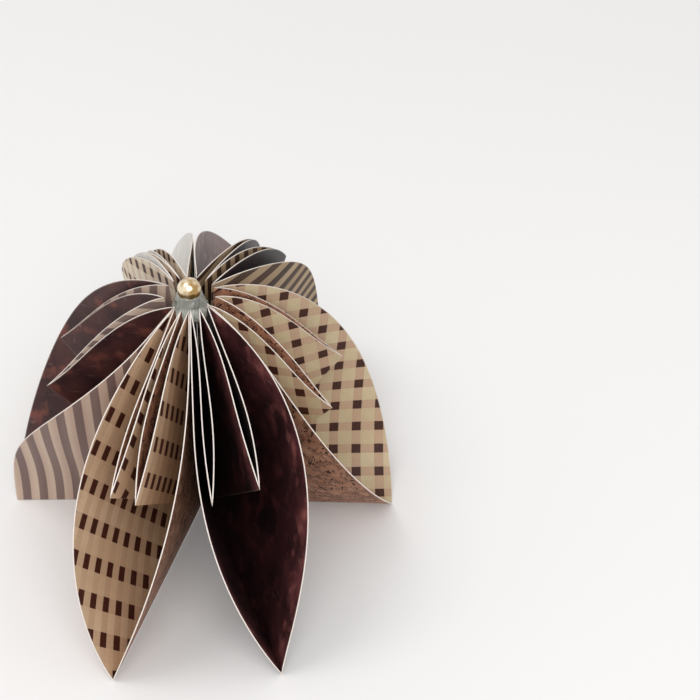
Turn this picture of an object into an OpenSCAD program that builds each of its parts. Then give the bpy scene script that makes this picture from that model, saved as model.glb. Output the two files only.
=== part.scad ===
// Folded card flower with six pocket petals, glued at the crown and topped with a pearl bead.
// Units are millimetres. The flower stands on the floor, Z = 0. Its front faces -Y and +Z is up.
// Each petal is one round sheet with six folds that all start at the sheet's centre. Going round
// the sheet they are the floor fold, first spine, first loop tip, middle spine, second loop tip
// and last spine. The two big walls rise from the floor fold to the outer spines and make the
// open pocket. The four small walls between the spines make two narrow loops inside the pocket.

/* [Sheets] */
// Floor fold length of the two front petals
front_reach = 75; // [66:1:86]
// Floor fold length of the two side petals
side_reach = 58; // [52:1:68]
// Floor fold length of the two back petals
back_reach = 84; // [74:1:94]
// Thickness of the card
card_t = 0.45; // [0.3:0.05:0.7]
// Space between the glued walls of neighbouring petals
glue_gap = 0.5; // [0.3:0.05:0.9]

/* [Crown] */
// Height of the spine tops above the floor
crown_h = 80; // [72:1:90]
// Radius of the ring that the spine tops stand on
crown_r = 7.2; // [6.5:0.1:9]

/* [Bead and glue] */
// Diameter of the pearl bead
bead_d = 7; // [6:0.5:9]
// Part of the bead that sits below the spine tops
bead_sink = 2; // [1.5:0.1:2.8]
// Depth of the glue dab below the spine tops
glue_depth = 8; // [5:0.5:12]
// Drop of the glue's outer edge below the spine tops
glue_drop = 1.4; // [0.8:0.1:2]
// Rise of the glue around the bead above the spine tops
glue_rise = 0.6; // [0.2:0.1:1.2]
// Clearance of the glue inside the ring of spines
seat_gap = 0.3; // [0.2:0.05:0.5]

/* [Hidden] */

// Straight pieces along the rim of a big wall and of a loop wall
wall_n = 18;
loop_n = 7;
bead_fn = 48;

// Radius of the small hole that is left where all six folds of a sheet meet
centre_hole = 2;

// Every spine leans out by this angle, so its length is a little more than the height
tilt = atan(crown_r / crown_h);
spine_el = 90 - tilt;
spine_len = crown_h / cos(tilt);

// Directions are degrees about Z, 0 to the front and + towards +X. Each petal has its floor fold,
// its two outer spines, the two seams where its big walls are glued to the neighbours, the two
// big walls, the two loops and the bows of the four loop walls. In front the seams are the spines.
// A wall is the elevation where it meets its seam, the fullness of its belly, and the swell of
// its rim as a share of the radius.
// A loop is the direction, the elevation and the radius share of its tip.
// A bow is how far a loop wall bulges sideways, in degrees seen from the sheet's centre.
// The room is the space between the neighbours, where it isn't the space between the spines.
left_fold = -90;
left_spines = [-124, -30];
left_walls = [[57, 0.86, 0], [83, 2.05, 0]];
left_loops = [[-115, 46.5, 0.84], [-84.5, 49, 0.82]];
left_bows = [0.6, 1.6, 1.4, 1.4];

front_left_fold = -16;
front_left_spines = [-30, 4];
front_left_walls = [[59, 0.9, 0], [84, 1, 0]];
front_left_loops = [[-18.5, 42.5, 1], [-11.5, 42, 1]];
front_left_bows = [0.8, 0.3, 0.3, 1.2];

front_right_fold = 20;
front_right_spines = [4, 45];
front_right_walls = [[58, 0.96, 0], [83.5, 1.3, 0]];
front_right_loops = [[8, 42, 1], [21, 43.5, 1]];
front_right_bows = [0.3, 1.2, 1, 1.2];

right_fold = 88;
right_spines = [45, 115];
right_walls = [[70, 0.94, 0], [54, 0.55, 0]];
right_loops = [[69.5, 49.5, 0.82], [104, 47.5, 0.82]];
right_bows = [1.2, 1.4, 1.4, 0.8];

back_right_fold = 155;
back_right_spines = [125, 170];
back_right_seams = [136, 182.5];
back_right_walls = [[84.5, 2, -0.03], [84.5, 0.74, 0.03]];
back_right_loops = [[155.5, 41, 1.01], [165, 38.5, 1.03]];
back_right_bows = [1, 0.3, 1.6, -1.5];
back_right_room = [100, 180];

back_left_fold = -167;
back_left_spines = [-172, -140];
back_left_seams = [-177.5, -150.5];
back_left_walls = [[66.5, 2.06, 0.02], [79.5, 0.8, -0.04]];
back_left_loops = [[-161.5, 38, 0.98], [-156, 38, 0.98]];
back_left_bows = [0, 1.2, -0.2, -0.2];
back_left_room = [-180, -110];

// How quickly a wall leaves its spine for its seam
parting = 16;

// Share of the space between two folded walls that each of them may fill
pressed = 0.42;

// Small vector helpers
function unit(v) = v / norm(v);
function across(v, d) = unit(v - (v * d) * d);
function dir(az, el) = [cos(el) * sin(az), -cos(el) * cos(az), sin(el)];

// Direction of a big wall's rim at elevation el, from the floor fold by its seam to its spine
function wall_az(fold, seam, spine, wall, el) =
    fold + (seam - fold) * sin(90 * pow(min(el / wall[0], 1), wall[1]))
    + (spine - seam) * pow(el / spine_el, parting);
function wall_dirs(fold, seam, spine, wall) =
    [for (i = [0:wall_n]) let (el = spine_el * pow(i / wall_n, 1.5))
        dir(wall_az(fold, seam, spine, wall, el), el)];

// Angles of the flat sheet from the first ray to each ray
function step_angle(a, b) = 2 * asin(min(norm(b - a) / 2, 1));
function sheet_angles(dirs) =
    [for (i = 0, s = 0; i < len(dirs); s = s + (i < len(dirs) - 1 ? step_angle(dirs[i], dirs[i + 1]) : 0),
        i = i + 1) s];

// Radius of the sheet's outline, reach at the floor fold and spine_len at the spines
function outline(reach, u) =
    reach * spine_len / norm([spine_len * cos(u), reach * sin(u)]);
function wall_rim(fold, seam, spine, wall, reach) =
    let (d = wall_dirs(fold, seam, spine, wall), a = sheet_angles(d), last = a[len(a) - 1])
    [for (i = [0:wall_n]) let (u = 90 * a[i] / last)
        outline(reach, u) * (1 + wall[2] * sin(2 * u)) * d[i]];

// Rim of a loop wall from a spine at azimuth az to a loop tip, with a sideways bow
function loop_rim(az, tip, bow) =
    let (a = dir(az, spine_el), b = dir(tip[0], tip[1]), c = step_angle(a, b),
        out = unit(cross(a, b)))
    [for (i = [0:loop_n]) let (s = i / loop_n,
        d = (sin(c * (1 - s)) * a + sin(c * s) * b) / sin(c),
        r = spine_len * (1 + (tip[2] - 1) * sin(90 * s)))
        r * unit(d + sin(bow) * sin(180 * s) * out)];

// The whole rim of a sheet, once round from the floor fold, without the last point of each wall
function head(list) = [for (i = [0:len(list) - 2]) list[i]];
function tail(list) = [for (i = [len(list) - 1:-1:1]) list[i]];
function petal_rim(fold, spines, seams, walls, loops, bows, reach) =
    let (mid = (spines[0] + spines[1]) / 2)
    concat(head(wall_rim(fold, seams[0], spines[0], walls[0], reach)),
        head(loop_rim(spines[0], loops[0], -bows[0])),
        tail(loop_rim(mid, loops[0], bows[1])),
        head(loop_rim(mid, loops[1], -bows[2])),
        tail(loop_rim(spines[1], loops[1], bows[3])),
        tail(wall_rim(fold, seams[1], spines[1], walls[1], reach)));
// Places of the folds in that list, those that open into the pocket and those of the loop tips
valleys = [0, wall_n, wall_n + 2 * loop_n, wall_n + 4 * loop_n];
ridges = [wall_n + loop_n, wall_n + 3 * loop_n];

// The card is card_t thick at the rim and thins evenly towards the sheet's centre, which leaves
// room for the folds where they all meet. Side 1 is the outside of the pocket, -1 its inside.
// In a fold the inner side keeps to the fold line and the outer side stands half a card off it.
// Beside a fold the inner side gives way too, so that the two walls never press into each other.
function fold_out(r, p, q) = -unit(across(p - r, unit(r)) + across(q - r, unit(r)));
function fold_gap(rim, i, folds, normal) =
    let (n = len(rim))
    min(concat(9, [for (f = folds) let (k = (i - f + n) % n, m = min(k, n - k))
        if (m < (f == 0 ? wall_n : loop_n)) abs((rim[i] - rim[(2 * f - i + n) % n]) * normal)]));
function side_point(rim, i, side) =
    let (n = len(rim), r = rim[i], p = rim[(i + n - 1) % n], q = rim[(i + 1) % n], h = card_t / 2,
        valley = len(search(i, valleys)) > 0, ridge = len(search(i, ridges)) > 0)
    valley ? (side < 0 ? r : r + h * fold_out(r, p, q)) :
    ridge ? (side < 0 ? r + h * fold_out(r, p, q) : r) :
    let (normal = unit(cross(r, q - p)),
        room = pressed * fold_gap(rim, i, side < 0 ? valleys : ridges, normal))
    r + side * min(h, room) * normal;
function side_rim(rim, side) = [for (i = [0:len(rim) - 1]) side_point(rim, i, side)];
function petal_points(rim) =
    let (a = side_rim(rim, 1), b = side_rim(rim, -1), k = centre_hole / spine_len)
    concat(a, b, k * a, k * b);
function petal_faces(n) =
    [for (i = [0:n - 1]) let (j = (i + 1) % n) each [
        [j, i, 2 * n + j], [i, 2 * n + i, 2 * n + j],
        [n + i, n + j, 3 * n + i], [n + j, 3 * n + j, 3 * n + i],
        [i, j, n + i], [j, n + j, n + i],
        [2 * n + j, 2 * n + i, 3 * n + j], [2 * n + i, 3 * n + i, 3 * n + j]]];

// The centre of each sheet stands off the flower's axis, so that neighbouring walls lie side by
// side. The room is the pair of directions that the petal fits between, most often its spines.
function stand_off(room) =
    (card_t + glue_gap) / 2 / sin((room[1] - room[0]) / 2) * dir((room[0] + room[1]) / 2, 0);

left_rim = petal_rim(left_fold, left_spines, left_spines, left_walls,
    left_loops, left_bows, side_reach);
front_left_rim = petal_rim(front_left_fold, front_left_spines, front_left_spines,
    front_left_walls, front_left_loops, front_left_bows, front_reach);
front_right_rim = petal_rim(front_right_fold, front_right_spines, front_right_spines,
    front_right_walls, front_right_loops, front_right_bows, front_reach);
right_rim = petal_rim(right_fold, right_spines, right_spines, right_walls,
    right_loops, right_bows, side_reach);
back_right_rim = petal_rim(back_right_fold, back_right_spines, back_right_seams,
    back_right_walls, back_right_loops, back_right_bows, back_reach);
back_left_rim = petal_rim(back_left_fold, back_left_spines, back_left_seams,
    back_left_walls, back_left_loops, back_left_bows, back_reach);

// The box of all petals puts the origin in its middle and its lowest point on the floor
function placed(rim, room) = [for (p = petal_points(rim)) p + stand_off(room)];
all_points = concat(placed(left_rim, left_spines), placed(front_left_rim, front_left_spines),
    placed(front_right_rim, front_right_spines), placed(right_rim, right_spines),
    placed(back_right_rim, back_right_room), placed(back_left_rim, back_left_room));
xs = [for (p = all_points) p[0]];
ys = [for (p = all_points) p[1]];
zs = [for (p = all_points) p[2]];
shift = [-(min(xs) + max(xs)) / 2, -(min(ys) + max(ys)) / 2, -min(zs)];

// Bead and glue, measured from the spine tops
bead_r = bead_d / 2;
bead_z = crown_h + bead_r - bead_sink;
function glue_r(z) = z * tan(tilt) - seat_gap;
glue_edge_z = crown_h - glue_drop;
glue_low_z = crown_h - glue_depth;

module petal(rim, room) {
    translate(shift + stand_off(room))
        polyhedron(petal_points(rim), petal_faces(len(rim)), convexity = 8);
}

module petal_left() {
    color([0.29, 0.15, 0.16])
        petal(left_rim, left_spines);
}

module petal_front_left() {
    color([0.77, 0.66, 0.54])
        petal(front_left_rim, front_left_spines);
}

module petal_front_right() {
    color([0.24, 0.12, 0.13])
        petal(front_right_rim, front_right_spines);
}

module petal_right() {
    color([0.82, 0.74, 0.62])
        petal(right_rim, right_spines);
}

module petal_back_right() {
    color([0.31, 0.2, 0.21])
        petal(back_right_rim, back_right_room);
}

module petal_back_left() {
    color([0.85, 0.8, 0.72])
        petal(back_left_rim, back_left_room);
}

// A clear plug between the spines, with a low cone on top that the bead sits in
module glue_dab() {
    color([0.8, 0.84, 0.82, 0.6])
        translate(shift)
            difference() {
                union() {
                    translate([0, 0, glue_low_z])
                        cylinder(h = glue_edge_z - glue_low_z, r1 = glue_r(glue_low_z),
                            r2 = glue_r(glue_edge_z), $fn = bead_fn);
                    translate([0, 0, glue_edge_z])
                        cylinder(h = glue_drop + glue_rise, r1 = glue_r(glue_edge_z),
                            r2 = bead_r + seat_gap, $fn = bead_fn);
                }
                translate([0, 0, bead_z])
                    sphere(d = bead_d, $fn = bead_fn);
            }
}

module bead() {
    color([0.89, 0.82, 0.66])
        translate(shift + [0, 0, bead_z])
            sphere(d = bead_d, $fn = bead_fn);
}

petal_left();
petal_front_left();
petal_front_right();
petal_right();
petal_back_right();
petal_back_left();
glue_dab();
bead();
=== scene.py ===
"""Folded card flower: six round printed sheets, clear glue at the crown and a pearl bead.

The sheets have the CAD model's sizes and stand round its bead. Each one is made again here from
a flat grid that is folded by the same rule, so that the print follows the flat sheet through its
folds.
"""

import math

import bpy
from mathutils import Matrix, Vector, noise


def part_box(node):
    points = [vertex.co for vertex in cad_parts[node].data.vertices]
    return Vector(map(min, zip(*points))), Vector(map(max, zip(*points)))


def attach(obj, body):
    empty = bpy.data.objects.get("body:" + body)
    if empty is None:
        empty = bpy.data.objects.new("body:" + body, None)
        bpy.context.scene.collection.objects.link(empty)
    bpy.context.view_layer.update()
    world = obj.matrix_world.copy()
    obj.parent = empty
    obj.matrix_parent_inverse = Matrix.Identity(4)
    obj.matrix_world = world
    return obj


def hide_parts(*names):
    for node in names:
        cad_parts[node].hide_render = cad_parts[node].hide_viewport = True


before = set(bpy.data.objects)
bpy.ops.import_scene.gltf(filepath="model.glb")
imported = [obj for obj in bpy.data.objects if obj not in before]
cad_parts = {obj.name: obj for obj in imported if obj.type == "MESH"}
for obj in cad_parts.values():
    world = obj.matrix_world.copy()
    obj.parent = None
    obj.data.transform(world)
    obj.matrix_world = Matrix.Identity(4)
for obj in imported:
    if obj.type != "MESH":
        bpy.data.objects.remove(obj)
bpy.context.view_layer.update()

MM = 0.001

# Sizes in millimetres, as in the CAD model
FRONT_REACH = 75.0
SIDE_REACH = 58.0
BACK_REACH = 84.0
CAD_CARD = 0.45
CAD_GLUE_GAP = 0.5
CROWN_H = 80.0
CROWN_R = 7.2
BEAD_D = 7.0
BEAD_SINK = 2.0

# The real card is thinner than the solids, and neighbouring walls stand closer
CARD = 0.32
GLUE_GAP = 0.12

TILT = math.degrees(math.atan(CROWN_R / CROWN_H))
SPINE_EL = 90 - TILT
SPINE_LEN = CROWN_H / math.cos(math.radians(TILT))

# The flower's axis and floor, from the bead of the CAD model
bead_low, bead_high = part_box("bead")
BEAD_MIDDLE = Vector([(a + b) / 2 for a, b in zip(bead_low, bead_high)]) / MM
AXIS = Vector((BEAD_MIDDLE.x, BEAD_MIDDLE.y, BEAD_MIDDLE.z - CROWN_H - BEAD_D / 2 + BEAD_SINK))

# Directions are degrees round from the front towards +X. Each petal has its floor fold, the seams
# where its big walls are glued to the neighbours, its two outer spines, its big walls (elevation
# where it meets the seam, fullness of the belly, swell of the rim), its loop tips (direction,
# elevation, radius share), the bows of its loop walls in degrees, how many degrees its loops are
# drawn in near the crown and let out near the tips, the room between the neighbours and its reach.
PETALS = {
    "petal_left": dict(
        fold=-90, seams=(-124, -30), spines=(-124, -30),
        walls=((57, 0.86, 0), (83, 2.05, 0)), loops=((-115, 46.5, 0.84), (-84.5, 49, 0.82)),
        bows=(0.4, -1.0, -0.2, 0.2), pinch=0.3, room=(-124, -30), reach=SIDE_REACH),
    "petal_front_left": dict(
        fold=-16, seams=(-30, 4), spines=(-30, 4),
        walls=((59, 0.9, 0), (84, 1, 0)), loops=((-18.5, 42.5, 1), (-11.5, 42, 1)),
        bows=(-0.6, 0.6, 0.7, 0.6), pinch=0.35, room=(-30, 4), reach=FRONT_REACH),
    "petal_front_right": dict(
        fold=20, seams=(4, 45), spines=(4, 45),
        walls=((58, 0.96, 0), (83.5, 1.3, 0)), loops=((8, 42, 1), (21, 43.5, 1)),
        bows=(0, 0.7, 0.1, 0.6), pinch=0.4, room=(4, 45), reach=FRONT_REACH),
    "petal_right": dict(
        fold=88, seams=(45, 115), spines=(45, 115),
        walls=((70, 0.94, 0), (54, 0.55, 0)), loops=((69.5, 49.5, 0.82), (104, 47.5, 0.82)),
        bows=(0.7, 0.6, 0.3, 0), pinch=0.3, room=(45, 115), reach=SIDE_REACH),
    "petal_back_right": dict(
        fold=155, seams=(136, 182.5), spines=(125, 170),
        walls=((84.5, 2, -0.03), (84.5, 0.74, 0.03)), loops=((155.5, 41, 1.01), (165, 38.5, 1.03)),
        bows=(1, 0.3, 1.6, -1.5), pinch=0, room=(100, 180), reach=BACK_REACH),
    "petal_back_left": dict(
        fold=-167, seams=(-177.5, -150.5), spines=(-172, -140),
        walls=((66.5, 2.06, 0.02), (79.5, 0.8, -0.04)), loops=((-161.5, 38, 0.98), (-156, 38, 0.98)),
        bows=(0, 1.2, -0.2, -0.2), pinch=0, room=(-180, -110), reach=BACK_REACH),
}

# How late a wall leaves its seam for its spine, and how late a loop's rim draws in to its tip
PARTING = 16
LOOP_DROP = 1.6

# Steps of the mesh along a big wall's rim, along a loop wall's rim, and from centre to rim
WALL_STEPS = 60
LOOP_STEPS = 26
RINGS = 14

# The card has its full thickness from the first share of its radius on, and the second share of
# that thickness at its centre
FULL_CARD_FROM = 0.4
CENTRE_CARD = 0.02


def sind(a):
    return math.sin(math.radians(a))


def cosd(a):
    return math.cos(math.radians(a))


# Folding a sheet

def direction(az, el):
    """Unit vector at az degrees round from the front towards +X, and el degrees up."""
    return Vector((cosd(el) * sind(az), -cosd(el) * cosd(az), sind(el)))


def angle(a, b):
    """Angle in degrees between two unit vectors."""
    return 2 * math.degrees(math.asin(min((b - a).length / 2, 1)))


def wall_rim(petal, side):
    """Rim of a big wall as (unit direction, radius, angle on the flat sheet) from fold to spine."""
    fold, seam, spine = petal["fold"], petal["seams"][side], petal["spines"][side]
    height, belly, swell = petal["walls"][side]
    rays = []
    for i in range(WALL_STEPS + 1):
        el = SPINE_EL * (i / WALL_STEPS) ** 1.5
        turn = (seam - fold) * sind(90 * min(el / height, 1) ** belly)
        rays.append(direction(fold + turn + (spine - seam) * (el / SPINE_EL) ** PARTING, el))
    angles = [0.0]
    for a, b in zip(rays, rays[1:]):
        angles.append(angles[-1] + angle(a, b))

    # The sheet's centre stands nearer to the axis than the solid's, and its floor end about where
    # the solid's does
    reach = (petal["reach"] + stand_off(petal, CAD_CARD + CAD_GLUE_GAP)
             - stand_off(petal, CARD + GLUE_GAP))
    rim = []
    for ray, a in zip(rays, angles):
        u = 90 * a / angles[-1]
        radius = reach * SPINE_LEN / math.hypot(SPINE_LEN * cosd(u), reach * sind(u))
        rim.append((ray, radius * (1 + swell * sind(2 * u)), a))
    return rim


def loop_rim(az, tip, bow, pinch):
    """Rim of a loop wall from a spine to a loop tip, in the same form."""
    a, b = direction(az, SPINE_EL), direction(tip[0], tip[1])
    c = angle(a, b)
    out = a.cross(b).normalized()
    rim = []
    for i in range(LOOP_STEPS + 1):
        s = i / LOOP_STEPS
        d = (sind(c * (1 - s)) * a + sind(c * s) * b) / sind(c)
        bend = bow * sind(180 * s) - pinch * sind(360 * s)
        ray = (d + sind(bend) * out).normalized()
        along = rim[-1][2] + angle(rim[-1][0], ray) if rim else 0.0
        rim.append((ray, SPINE_LEN * (1 + (tip[2] - 1) * sind(90 * s) ** LOOP_DROP), along))
    return rim


def half_rim(petal, side):
    """Rim from the floor fold over one big wall and one loop to the middle spine."""
    middle = sum(petal["spines"]) / 2
    bows, tip = petal["bows"], petal["loops"][side]
    outer, inner = ((-bows[0], bows[1]) if side == 0 else (bows[3], -bows[2]))
    pinch = petal["pinch"] if side == 1 else -petal["pinch"]
    pieces = [wall_rim(petal, side), loop_rim(petal["spines"][side], tip, outer, pinch),
              loop_rim(middle, tip, inner, -pinch)[::-1]]
    rim, folds, start = [], [0], 0.0
    for piece in pieces:
        first = piece[0][2]
        for ray, radius, a in piece[(1 if rim else 0):]:
            rim.append((ray, radius, start + abs(a - first)))
        start = rim[-1][2]
        folds.append(len(rim) - 1)
    return rim, folds


def sheet_rim(petal):
    """The whole rim, from the middle spine round by the floor fold and back, and its folds."""
    low, low_folds = half_rim(petal, 0)
    high, high_folds = half_rim(petal, 1)
    n = len(low) - 1
    rim = [(ray, radius, -a) for ray, radius, a in reversed(low)] + high[1:]
    folds = sorted({n - f for f in low_folds} | {n + f for f in high_folds})
    return rim, folds


def stand_off(petal, clearance):
    """How far a sheet's centre stands from the axis, to leave that clearance to its neighbours."""
    low, high = petal["room"]
    return clearance / 2 / sind((high - low) / 2)


# Small helpers for pieces and materials

def deselect():
    if bpy.context.object and bpy.context.object.mode != "OBJECT":
        bpy.ops.object.mode_set(mode="OBJECT")
    bpy.ops.object.select_all(action="DESELECT")


def only(piece):
    """Selects one piece and makes it active."""
    deselect()
    piece.select_set(True)
    bpy.context.view_layer.objects.active = piece


def named(name):
    """Names the primitive that was just added."""
    piece = bpy.context.active_object
    piece.name = piece.data.name = name
    return piece


def smooth(piece, degrees):
    only(piece)
    bpy.ops.object.shade_smooth_by_angle(angle=math.radians(degrees))


def linear(hex_colour):
    """An sRGB hex colour as the linear values that Blender's sockets take."""
    parts = [int(hex_colour[i:i + 2], 16) / 255 for i in (1, 3, 5)]
    return [p / 12.92 if p <= 0.04045 else ((p + 0.055) / 1.055) ** 2.4 for p in parts] + [1.0]


def add(tree, kind, settings=None, **inputs):
    """Adds one node with its settings. An input is a value or another node's output."""
    node = tree.nodes.new(kind)
    for name, value in (settings or {}).items():
        setattr(node, name, value)
    for name, value in inputs.items():
        key = int(name[1:]) if name[0] == "_" else name.replace("_", " ")
        if isinstance(value, bpy.types.NodeSocket):
            tree.links.new(value, node.inputs[key])
        else:
            node.inputs[key].default_value = value
    return node


def new_material(name):
    material = bpy.data.materials.new(name)
    material.use_nodes = True
    material.node_tree.nodes.clear()
    return material, material.node_tree


def seen_directly(tree):
    """1 on what the camera, a reflection or clear glue sees, 0 on what only sends light."""
    path = add(tree, "ShaderNodeLightPath")
    shiny = add(tree, "ShaderNodeMath", {"operation": "MAXIMUM"},
                _0=path.outputs["Is Glossy Ray"], _1=path.outputs["Is Transmission Ray"])
    return add(tree, "ShaderNodeMath", {"operation": "MAXIMUM"},
               _0=path.outputs["Is Camera Ray"], _1=shiny.outputs[0]).outputs[0]


COLOURS = {"data_type": "RGBA"}
SOFT = {"interpolation_type": "SMOOTHSTEP"}


# The printed cards. Every print reads the UV map "sheet", which is the flat sheet in millimetres
# with the sheet's centre at 0, 0 and the floor fold along +V, so it turns at each fold as the
# real print does.

def lines(tree, across, pitch, width, blur=0.1):
    """1 on lines of that width which repeat every pitch, 0 between them."""
    off = add(tree, "ShaderNodeMath", {"operation": "PINGPONG"}, _0=across, _1=pitch / 2)
    return add(tree, "ShaderNodeMapRange", SOFT, Value=off.outputs[0], From_Min=width / 2 + blur,
               From_Max=width / 2 - blur).outputs[0]


def sheet_axes(tree, uv, centre, turn):
    """The sheet's coordinates about a centre, turned by that many degrees."""
    moved = add(tree, "ShaderNodeVectorMath", {"operation": "SUBTRACT"}, _0=uv, _1=(*centre, 0))
    turned = add(tree, "ShaderNodeVectorRotate", {"rotation_type": "Z_AXIS"},
                 Vector=moved.outputs[0], Angle=math.radians(turn))
    return add(tree, "ShaderNodeSeparateXYZ", Vector=turned.outputs[0]).outputs


def patches(tree, uv, scale, low, high, detail=3.0):
    """Soft patches about 1 / scale mm across: 0 where the noise is low, and 1 where it is high."""
    cloud = add(tree, "ShaderNodeTexNoise", Vector=uv, Scale=scale, Detail=detail)
    return add(tree, "ShaderNodeMapRange", SOFT, Value=cloud.outputs[0], From_Min=low,
               From_Max=high).outputs[0]


# Threads of the check prints: how many to a check, and their width and blur in millimetres
THREADS = 7
THREAD_WIDTH = 0.16
THREAD_BLUR = 0.14

# The mottle with painted rim light gets brighter from the first distance from the rim to the second,
# in millimetres
PAINTED_LIGHT_FROM = 15.0
PAINTED_LIGHT_MOST = 1.0

# Wear at folds and rim: the most that it can reach in millimetres, its share at each, its colour
WEAR_REACH = 0.7
FOLD_WEAR = 0.14
RIM_WEAR = 0.5
WORN_PRINT = "#e6dbd0"


def print_check(tree, uv, centre, turn, pitch, square, ground, band, ink, thread):
    """Dark squares where tan bands cross on a pale ground, with fine threads as on woven cloth.

    The threads are drawn 1 to 1.4 mm apart, coarser than cloth's, so that they show.
    """
    x, y = sheet_axes(tree, uv, centre, turn)[:2]
    columns = lines(tree, x, pitch[0], square[0])
    rows = lines(tree, y, pitch[1], square[1])
    plain = add(tree, "ShaderNodeMix", COLOURS, _0=patches(tree, uv, 0.05, 0.35, 0.65),
                _6=linear(ground[0]), _7=linear(ground[1])).outputs[2]
    either = add(tree, "ShaderNodeMath", {"operation": "MAXIMUM"}, _0=columns, _1=rows)
    banded = add(tree, "ShaderNodeMix", COLOURS, _0=either.outputs[0], _6=plain,
                 _7=linear(band)).outputs[2]
    threads = add(tree, "ShaderNodeMath", {"operation": "MAXIMUM"},
                  _0=lines(tree, x, pitch[0] / THREADS, THREAD_WIDTH, THREAD_BLUR),
                  _1=lines(tree, y, pitch[1] / THREADS, THREAD_WIDTH, THREAD_BLUR))
    shown = add(tree, "ShaderNodeMapRange", Value=patches(tree, uv, 0.5, 0.35, 0.7), To_Max=thread)
    faint = add(tree, "ShaderNodeMath", {"operation": "MULTIPLY"}, _0=threads.outputs[0],
                _1=shown.outputs[0])
    woven = add(tree, "ShaderNodeMix", COLOURS, _0=faint.outputs[0], _6=banded,
                _7=linear("#9c7658")).outputs[2]
    crossing = add(tree, "ShaderNodeMath", {"operation": "MULTIPLY"}, _0=columns, _1=rows)
    inked = add(tree, "ShaderNodeMix", COLOURS, _0=patches(tree, uv, 1.2, 0.35, 0.7),
                _6=linear(ink[0]), _7=linear(ink[1])).outputs[2]
    return add(tree, "ShaderNodeMix", COLOURS, _0=crossing.outputs[0], _6=woven,
               _7=inked).outputs[2]


def print_stripes(tree, uv, offset, turn, pitch, dark, light):
    """Even two-tone stripes, each a little different in warmth."""
    y = sheet_axes(tree, uv, (0, 0), turn)[1]
    moved = add(tree, "ShaderNodeMath", {"operation": "SUBTRACT"}, _0=y, _1=offset)
    stripe = lines(tree, moved.outputs[0], pitch, pitch / 2, 0.16)
    along = add(tree, "ShaderNodeCombineXYZ", X=y)
    warmth = patches(tree, along.outputs[0], 0.19, 0.4, 0.6, 0.0)
    darks = add(tree, "ShaderNodeMix", COLOURS, _0=warmth, _6=linear(dark[0]), _7=linear(dark[1]))
    lights = add(tree, "ShaderNodeMix", COLOURS, _0=warmth, _6=linear(light[0]), _7=linear(light[1]))
    return add(tree, "ShaderNodeMix", COLOURS, _0=stripe, _6=lights.outputs[2],
               _7=darks.outputs[2]).outputs[2]


def print_curls(tree, uv):
    """Brown ground with short dark curls, like worn pen flourishes."""
    cloud = patches(tree, uv, 0.07, 0.35, 0.68)
    ground = add(tree, "ShaderNodeMix", COLOURS, _0=cloud, _6=linear("#b38063"),
                 _7=linear("#96654c")).outputs[2]
    warm = add(tree, "ShaderNodeMix", COLOURS, _0=patches(tree, uv, 0.22, 0.5, 0.75),
               _6=ground, _7=linear("#c7967a")).outputs[2]

    # The strokes are contour lines of a warped noise, broken off where another noise is low
    field = add(tree, "ShaderNodeTexNoise", Vector=uv, Scale=0.2, Detail=0.6, Distortion=1.6)
    strokes = lines(tree, field.outputs[0], 0.11, 0.044, 0.01)
    breaks = patches(tree, uv, 0.3, 0.42, 0.5, 1.0)
    curls = add(tree, "ShaderNodeMath", {"operation": "MULTIPLY"}, _0=strokes, _1=breaks)
    return add(tree, "ShaderNodeMix", COLOURS, _0=curls.outputs[0], _6=warm,
               _7=linear("#361811")).outputs[2]


def print_mottle(tree, uv, deep, middle, bright, haze):
    """Dark leather-like blotches, with a pale haze where the print is worn."""
    blotch = add(tree, "ShaderNodeMix", COLOURS, _0=patches(tree, uv, 0.09, 0.3, 0.68, 6.0),
                 _6=linear(deep), _7=linear(middle)).outputs[2]
    lit = add(tree, "ShaderNodeMix", COLOURS, _0=patches(tree, uv, 0.16, 0.5, 0.72, 8.0),
              _6=blotch, _7=linear(bright)).outputs[2]
    stretched = add(tree, "ShaderNodeMapping", Vector=uv, Scale=(1.6, 0.35, 1))
    streaks = patches(tree, stretched.outputs[0], 0.5, 0.6, 0.8, 5.0)
    faint = add(tree, "ShaderNodeMath", {"operation": "MULTIPLY"}, _0=streaks, _1=0.5)
    return add(tree, "ShaderNodeMix", COLOURS, _0=faint.outputs[0], _6=lit,
               _7=linear(haze)).outputs[2]


def print_mottle_painted_rim_light(tree, uv, shade, painted_rim_light):
    """A mottle with painted shade deep in the pocket, brighter towards the rim as painted light."""
    rim = add(tree, "ShaderNodeAttribute", {"attribute_name": "edge_mm"})
    near = add(tree, "ShaderNodeMapRange", SOFT, Value=rim.outputs["Fac"], From_Min=PAINTED_LIGHT_FROM,
               From_Max=PAINTED_LIGHT_MOST)
    return add(tree, "ShaderNodeMix", COLOURS, _0=near.outputs[0],
               _6=print_mottle(tree, uv, *shade), _7=print_mottle(tree, uv, *painted_rim_light)).outputs[2]


def print_mottle_painted_sheen(tree, uv, shade, sheen):
    """One mottle on the folded loops and a greyer one, a painted sheen, on the big wall beyond the
    floor fold.
    """
    u, v = add(tree, "ShaderNodeSeparateXYZ", Vector=uv).outputs[:2]
    beyond = add(tree, "ShaderNodeMapRange", SOFT, Value=u, From_Min=-1.0, From_Max=1.0)
    above = add(tree, "ShaderNodeMapRange", SOFT, Value=v, From_Min=-14.0, From_Max=-10.0)
    wall = add(tree, "ShaderNodeMath", {"operation": "MULTIPLY"}, _0=beyond.outputs[0],
               _1=above.outputs[0])
    return add(tree, "ShaderNodeMix", COLOURS, _0=wall.outputs[0], _6=print_mottle(tree, uv, *shade),
               _7=print_mottle(tree, uv, *sheen)).outputs[2]


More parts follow.
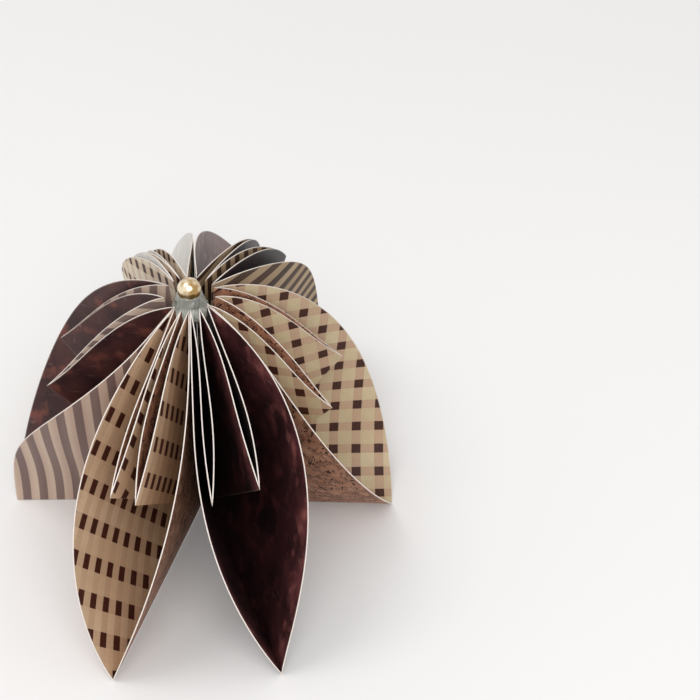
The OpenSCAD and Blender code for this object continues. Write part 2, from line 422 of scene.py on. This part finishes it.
def finish_card(material, tree, uv, colour, roughness):
    """The card under the print: pressed fibres, a satin varnish and pale wear at folds and rim.

    The fibres are drawn about 0.4 mm across, coarser than paper's, so that they show.
    """
    fibres = add(tree, "ShaderNodeTexNoise", Vector=uv, Scale=2.6, Detail=8.0, Roughness=0.7)
    fold = add(tree, "ShaderNodeAttribute", {"attribute_name": "fold_mm"})
    rim = add(tree, "ShaderNodeAttribute", {"attribute_name": "edge_mm"})
    ragged = add(tree, "ShaderNodeMath", {"operation": "MULTIPLY"}, _0=fibres.outputs[0],
                 _1=WEAR_REACH)
    near_fold = add(tree, "ShaderNodeMapRange", SOFT, Value=fold.outputs["Fac"],
                    From_Min=ragged.outputs[0], From_Max=0.0, To_Max=FOLD_WEAR)
    near_rim = add(tree, "ShaderNodeMapRange", SOFT, Value=rim.outputs["Fac"],
                   From_Min=ragged.outputs[0], From_Max=0.0, To_Max=RIM_WEAR)
    wear = add(tree, "ShaderNodeMath", {"operation": "MAXIMUM"}, _0=near_fold.outputs[0],
               _1=near_rim.outputs[0])
    grain = add(tree, "ShaderNodeMapRange", Value=fibres.outputs[0], From_Min=0.3, From_Max=0.7,
                To_Min=0.93, To_Max=1.06)
    grained = add(tree, "ShaderNodeVectorMath", {"operation": "SCALE"}, _0=colour,
                  Scale=grain.outputs[0])
    worn = add(tree, "ShaderNodeMix", COLOURS, _0=wear.outputs[0], _6=grained.outputs[0],
               _7=linear(WORN_PRINT))
    sheen = add(tree, "ShaderNodeMapRange", Value=fibres.outputs[0], From_Min=0.3, From_Max=0.7,
                To_Min=roughness - 0.06, To_Max=roughness + 0.08)
    dents = add(tree, "ShaderNodeTexNoise", Vector=uv, Scale=0.12, Detail=2.0)
    swell = add(tree, "ShaderNodeBump", Strength=0.5, Distance=0.0004, Height=dents.outputs[0])
    tooth = add(tree, "ShaderNodeBump", Strength=0.35, Distance=0.00006,
                Height=fibres.outputs[0], Normal=swell.outputs[0])
    shader = add(tree, "ShaderNodeBsdfPrincipled", Base_Color=worn.outputs[2],
                 Roughness=sheen.outputs[0], Specular_IOR_Level=0.4, Normal=tooth.outputs[0])
    add(tree, "ShaderNodeOutputMaterial", Surface=shader.outputs[0])
    return material


def printed(name, print_of, *details, roughness=0.62):
    """A card material from one of the prints above."""
    material, tree = new_material(name)
    uv = add(tree, "ShaderNodeUVMap", {"uv_map": "sheet"}).outputs[0]
    return finish_card(material, tree, uv, print_of(tree, uv, *details), roughness)


# Crisp rows of dark dashes that run slantwise over the pocket of the front left petal
dash_card = printed("offset printed card, brown dashes on beige check", print_check,
                    (-10.6, 70.6), 36.0, (6.6, 9.9), (3.1, 4.2),
                    ("#dec3a4", "#d3b493"), "#cdae90", ("#3a1209", "#4a1e12"), 0.25)
# A square brown check on beige, which reads as the brightest side petal
check_card = printed("offset printed card, brown check on beige", print_check,
                     (18.1, 53.75), 3.2, (7.3, 7.2), (2.9, 2.9),
                     ("#cdbd9b", "#c2ae8c"), "#bd9f84", ("#35150c", "#47200f"), 0.2)
# The same check as a back print, turned another way
back_check_card = printed("offset printed card, brown check back", print_check,
                          (4.0, 60.0), -20.0, (7.3, 7.2), (2.9, 2.9),
                          ("#efe5d0", "#e4d7c0"), "#d9c3ab", ("#35170f", "#4c2518"), 0.3)
# Two-tone stripes on the outside of the left petal, greyed as painted shade
stripe_card = printed("offset printed card, brown stripes greyed as painted shade", print_stripes,
                      44.5, 3.7, 5.2, ("#7b6560", "#86716a"), ("#c3aa99", "#cfb9a6"))
# Darker, stronger stripes that show on the back right petal
dark_stripe_card = printed("offset printed card, dark brown stripes", print_stripes,
                           2.0, 90.0, 6.0, ("#3e2819", "#4b3222"), ("#aa9170", "#b59c7d"))
# Brown with worn curls, seen in the gaps between the front and side petals
curl_card = printed("offset printed card, brown with dark curls", print_curls)
# Deep purple-brown with reddish and pale worn patches, like old leather
mottle_card = printed("satin printed card, purple brown mottle", print_mottle,
                      "#2f1719", "#4f2c29", "#754136", "#90736b", roughness=0.5)
# Almost black maroon, with painted shade deep in the pocket and painted light towards the rim
dark_card = printed("satin printed card, dark maroon mottle", print_mottle_painted_rim_light,
                    ("#1c0c0f", "#38191c", "#56292a", "#7d5c57"),
                    ("#331719", "#653537", "#905650", "#b8948a"), roughness=0.5)
# Plain black-brown, a painted shade for the inside of the loops
black_painted_shade_card = printed("matt card, black brown painted shade", print_mottle,
                     "#160b0c", "#1f1112", "#2b1817", "#3a2625", roughness=0.6)
# Near-black purple on the loops, and a greyed purple on the upright wall that is a painted sheen
purple_painted_sheen_card = printed("satin printed card, purple mottle with painted sheen", print_mottle_painted_sheen,
                           ("#1e1215", "#2c1a1d", "#3b2427", "#5d4543"),
                           ("#7a605e", "#967c78", "#b0978f", "#c8b6b0"), roughness=0.45)
# Off-white with faint grey smudges, its pale tone a painted sheen on the print, almost lost against
# the background
pale_painted_sheen_card = printed("satin printed card, pale painted sheen with grey smudges", print_mottle,
                    "#e6e2dc", "#efebe6", "#f5f2ee", "#c4bab1", roughness=0.55)

# The sheared rim shows the card's white core, a thin bright line that draws every petal
edge_card, tree = new_material("sheared edge of white core card")
place = add(tree, "ShaderNodeTexCoord").outputs["Object"]
layers = add(tree, "ShaderNodeTexNoise", Vector=place, Scale=1800.0, Detail=3.0)
core = add(tree, "ShaderNodeMix", COLOURS, _0=layers.outputs[0], _6=linear("#f6efe8"),
           _7=linear("#dccdc2"))
rough = add(tree, "ShaderNodeBump", Strength=0.4, Distance=0.00005, Height=layers.outputs[0])
shader = add(tree, "ShaderNodeBsdfPrincipled", Base_Color=core.outputs[2], Roughness=0.85,
             Normal=rough.outputs[0])
add(tree, "ShaderNodeOutputMaterial", Surface=shader.outputs[0])

# The print inside the pocket, the print outside, and the record's slot
CARDS = {
    "petal_left": (mottle_card, stripe_card, "card_mottled"),
    "petal_front_left": (dash_card, curl_card, "card_dashes"),
    "petal_front_right": (dark_card, black_painted_shade_card, "card_dark"),
    "petal_right": (check_card, curl_card, "card_plaid"),
    "petal_back_right": (purple_painted_sheen_card, dark_stripe_card, "card_mottled"),
    "petal_back_left": (pale_painted_sheen_card, back_check_card, "card_pale"),
}


def fold_sheet(name, petal):
    """Makes one flat grid, with rings about the sheet's centre, and folds it into its petal."""
    rim, folds = sheet_rim(petal)
    around = len(rim) - 1
    deselect()
    bpy.ops.mesh.primitive_grid_add(x_subdivisions=around, y_subdivisions=RINGS, size=1)
    sheet = named(name)
    mesh = sheet.data
    centre = AXIS + stand_off(petal, CARD + GLUE_GAP) * direction(sum(petal["room"]) / 2, 0)

    # Place of each vertex on the sheet: step round the rim and share of the radius
    place = [(round((v.co.x + 0.5) * around), v.co.y + 0.5) for v in mesh.vertices]
    uv = mesh.uv_layers.active
    uv.name = "sheet"
    for loop in mesh.loops:
        i, share = place[loop.vertex_index]
        _, radius, a = rim[i]
        uv.data[loop.index].uv = (share * radius * sind(a), share * radius * cosd(a))

    # Distance from the nearest fold and from the rim, for the wear there. The card thins towards
    # the sheet's centre, where six folds meet in one place.
    body = sheet.vertex_groups.new(name="body")
    for index, (_, share) in enumerate(place):
        body.add([index], min(1, share / FULL_CARD_FROM), "REPLACE")
    mesh.attributes.new("fold_mm", "FLOAT", "POINT")
    mesh.attributes.new("edge_mm", "FLOAT", "POINT")
    fold_mm, edge_mm = mesh.attributes["fold_mm"].data, mesh.attributes["edge_mm"].data
    for v in mesh.vertices:
        i, share = place[v.index]
        ray, radius, a = rim[i]
        near = min(abs(a - rim[f][2]) for f in folds)
        fold_mm[v.index].value = share * radius * math.radians(near)
        edge_mm[v.index].value = (1 - share) * radius
        v.co = (centre + share * radius * ray) * MM
    only(sheet)
    bpy.ops.object.mode_set(mode="EDIT")
    bpy.ops.mesh.select_all(action="SELECT")
    bpy.ops.mesh.remove_doubles(threshold=1e-7)
    bpy.ops.object.mode_set(mode="OBJECT")
    return sheet


def thicken(sheet):
    """Gives the sheet the card's thickness, with its other print and its cut edge."""
    card = sheet.modifiers.new("card", "SOLIDIFY")
    card.thickness = CARD * MM
    card.offset = 0
    card.vertex_group = "body"
    card.thickness_vertex_group = CENTRE_CARD
    card.use_quality_normals = True
    card.material_offset = 1
    card.material_offset_rim = 2
    only(sheet)
    bpy.ops.object.modifier_apply(modifier=card.name)
    smooth(sheet, 28)


for name, petal in PETALS.items():
    inside, outside, slot = CARDS[name]
    sheet = fold_sheet("card_" + name, petal)
    for material in (outside, inside, edge_card):
        sheet.data.materials.append(material)
    thicken(sheet)
    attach(sheet, "root")
    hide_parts(name)

# Clear glue. Radius and height above the spine tops, from the dab's top under the bead to its
# bottom between the spines
GLUE_LINE = [(0, 0.3), (2.2, 0.4), (3.2, 0.7), (3.6, 0.2), (3.9, -0.8), (4.3, -1.9), (4.8, -3.0),
             (5.3, -4.1), (5.6, -5.2), (5.4, -6.4), (4.5, -7.4), (2.5, -7.9), (0, -8)]

# Its lumps as a share of that radius, and its waves in millimetres
GLUE_LUMPS = 0.1
GLUE_WAVES = 0.25

deselect()
bpy.ops.mesh.primitive_uv_sphere_add(segments=96, ring_count=70, radius=1)
glue = named("glue_puddle")
for v in glue.data.vertices:
    t = math.acos(max(-1, min(1, v.co.z))) / math.pi * (len(GLUE_LINE) - 1)
    i = min(int(t), len(GLUE_LINE) - 2)
    r, z = (a + (b - a) * (t - i) for a, b in zip(GLUE_LINE[i], GLUE_LINE[i + 1]))
    off_axis = math.hypot(v.co.x, v.co.y) or 1.0
    x, y = v.co.x / off_axis, v.co.y / off_axis
    lump = noise.noise(Vector((2.1 * x, 2.1 * y, 0.5 * z))) + 0.4 * noise.noise(
        Vector((6.0 * x + 9, 6.0 * y, 0.8 * z)))
    r *= 1 + GLUE_LUMPS * lump
    wave = GLUE_WAVES * lump * min(r / 4, 1)
    v.co = (AXIS + Vector((r * x, r * y, CROWN_H + z + wave))) * MM
smooth(glue, 70)

# Hot glue: clear with a faint grey-green cloud, wet-looking highlights round the bead
hot_glue, tree = new_material("clear hot glue, set with small waves")
place = add(tree, "ShaderNodeTexCoord").outputs["Object"]
waves = add(tree, "ShaderNodeTexNoise", Vector=place, Scale=260.0, Detail=1.0)
ripple = add(tree, "ShaderNodeBump", Strength=0.5, Distance=0.0002, Height=waves.outputs[0])
cloud = add(tree, "ShaderNodeMix", COLOURS, _0=waves.outputs[0], _6=linear("#eceee6"),
            _7=linear("#bfc4ba"))
shader = add(tree, "ShaderNodeBsdfPrincipled", Base_Color=cloud.outputs[2], Roughness=0.14,
             IOR=1.48, Transmission_Weight=0.65, Normal=ripple.outputs[0])
add(tree, "ShaderNodeOutputMaterial", Surface=shader.outputs[0])
glue.data.materials.append(hot_glue)
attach(glue, "root")
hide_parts("glue_dab")

deselect()
bpy.ops.mesh.primitive_uv_sphere_add(segments=96, ring_count=48, radius=BEAD_D / 2 * MM)
pearl = named("pearl_bead")
for v in pearl.data.vertices:
    v.co += BEAD_MIDDLE * MM
smooth(pearl, 60)

# Champagne pearl: a dipped lacquer, soft metallic, with darker patches of painted reflection, and
# two sharp highlights
pearl_coat, tree = new_material("champagne pearl lacquer on a moulded bead")
place = add(tree, "ShaderNodeTexCoord").outputs["Object"]
bloom = add(tree, "ShaderNodeTexNoise", Vector=place, Scale=330.0, Detail=1.0)
painted_reflection_patches = add(tree, "ShaderNodeMapRange", SOFT, Value=bloom.outputs[0], From_Min=0.4, From_Max=0.62)
lacquer = add(tree, "ShaderNodeMix", COLOURS, _0=painted_reflection_patches.outputs[0], _6=linear("#b08a4e"),
              _7=linear("#f6e8c6"))
skin = add(tree, "ShaderNodeBump", Strength=0.12, Distance=0.00008, Height=bloom.outputs[0])
shader = add(tree, "ShaderNodeBsdfPrincipled", Base_Color=lacquer.outputs[2], Metallic=0.7,
             Roughness=0.2, Coat_Weight=0.8, Coat_Roughness=0.05, Normal=skin.outputs[0])
add(tree, "ShaderNodeOutputMaterial", Surface=shader.outputs[0])
pearl.data.materials.append(pearl_coat)
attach(pearl, "root")
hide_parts("bead")

# Studio table with the flower's own soft shadow, just under the flower so that no faces meet. A
# share of what the camera sees of it is its plain pale colour, so that the shadow stays as light
# as on a lit table.
FLOOR_SIZE = 4.0
FLOOR_DROP = 0.0002
FLOOR_LIFT = 0.1

deselect()
bpy.ops.mesh.primitive_plane_add(size=FLOOR_SIZE, location=(0, 0, -FLOOR_DROP))
floor = named("studio_floor")
paper, tree = new_material("matt studio paper, off-white")
place = add(tree, "ShaderNodeTexCoord").outputs["Object"]
tone = add(tree, "ShaderNodeTexNoise", Vector=place, Scale=3.0, Detail=1.0)
white = add(tree, "ShaderNodeMix", COLOURS, _0=tone.outputs[0], _6=linear("#f8f7f6"),
            _7=linear("#f3f1f0"))
shader = add(tree, "ShaderNodeBsdfPrincipled", Base_Color=white.outputs[2], Roughness=0.95,
             Specular_IOR_Level=0.1)
lifted = add(tree, "ShaderNodeMath", {"operation": "MULTIPLY"}, _0=seen_directly(tree),
             _1=FLOOR_LIFT)
glow = add(tree, "ShaderNodeEmission", Color=white.outputs[2], Strength=1.0)
shown = add(tree, "ShaderNodeMixShader", _0=lifted.outputs[0], _1=shader.outputs[0],
            _2=glow.outputs[0])
add(tree, "ShaderNodeOutputMaterial", Surface=shown.outputs[0])
floor.data.materials.append(paper)

# Soft light from all round. What the camera, a reflection or clear glue sees of it is off-white.
world = bpy.data.worlds.new("soft studio")
bpy.context.scene.world = world
world.use_nodes = True
tree = world.node_tree
tree.nodes.clear()
fill = add(tree, "ShaderNodeBackground", Color=linear("#ffffff"), Strength=0.62)
backdrop = add(tree, "ShaderNodeBackground", Color=linear("#efedec"), Strength=1.0)
both = add(tree, "ShaderNodeMixShader", _0=seen_directly(tree), _1=fill.outputs[0],
           _2=backdrop.outputs[0])
add(tree, "ShaderNodeOutputWorld", Surface=both.outputs[0])


def softbox(name, place, target, size, watts):
    lamp = bpy.data.lights.new(name, "AREA")
    lamp.shape = "DISK"
    lamp.size = size
    lamp.energy = watts
    box = bpy.data.objects.new(name, lamp)
    bpy.context.scene.collection.objects.link(box)
    box.location = place
    box.rotation_euler = (Vector(target) - Vector(place)).to_track_quat("-Z", "Y").to_euler()


# One soft light from high up at the left, and a stronger one in front that brightens the pockets
softbox("key softbox", (-0.75, -0.1, 1.5), (0, 0, 0.02), 0.9, 5.5)
softbox("front softbox", (0.15, -0.9, 0.95), (0, 0, 0.03), 1.0, 7.2)

# The camera looks 38.6 degrees down from 600 mm away, past the flower, which stands at the left
# of the frame as in the photograph
ELEVATION = 38.58
DISTANCE = 600.0
AIM = Vector((45.7, 74.6, 0.0))
TURN = Matrix.Rotation(math.radians(-0.31), 3, "Z")
FOCAL_PX = 1727.0
FRAME_PX = 700.0
SENSOR = 36.0

camera = bpy.data.objects.new("camera", bpy.data.cameras.new("camera"))
bpy.context.scene.collection.objects.link(camera)
bpy.context.scene.camera = camera
aim = AXIS + TURN @ AIM
eye = aim + TURN @ (DISTANCE * Vector((0, -cosd(ELEVATION), sind(ELEVATION))))
camera.location = eye * MM
camera.rotation_euler = ((aim - eye).to_track_quat("-Z", "Y")).to_euler()
camera.data.sensor_width = SENSOR
camera.data.lens = FOCAL_PX / FRAME_PX * SENSOR
camera.data.clip_start = 0.05
camera.data.clip_end = 20

bpy.context.scene.view_settings.view_transform = "Standard"
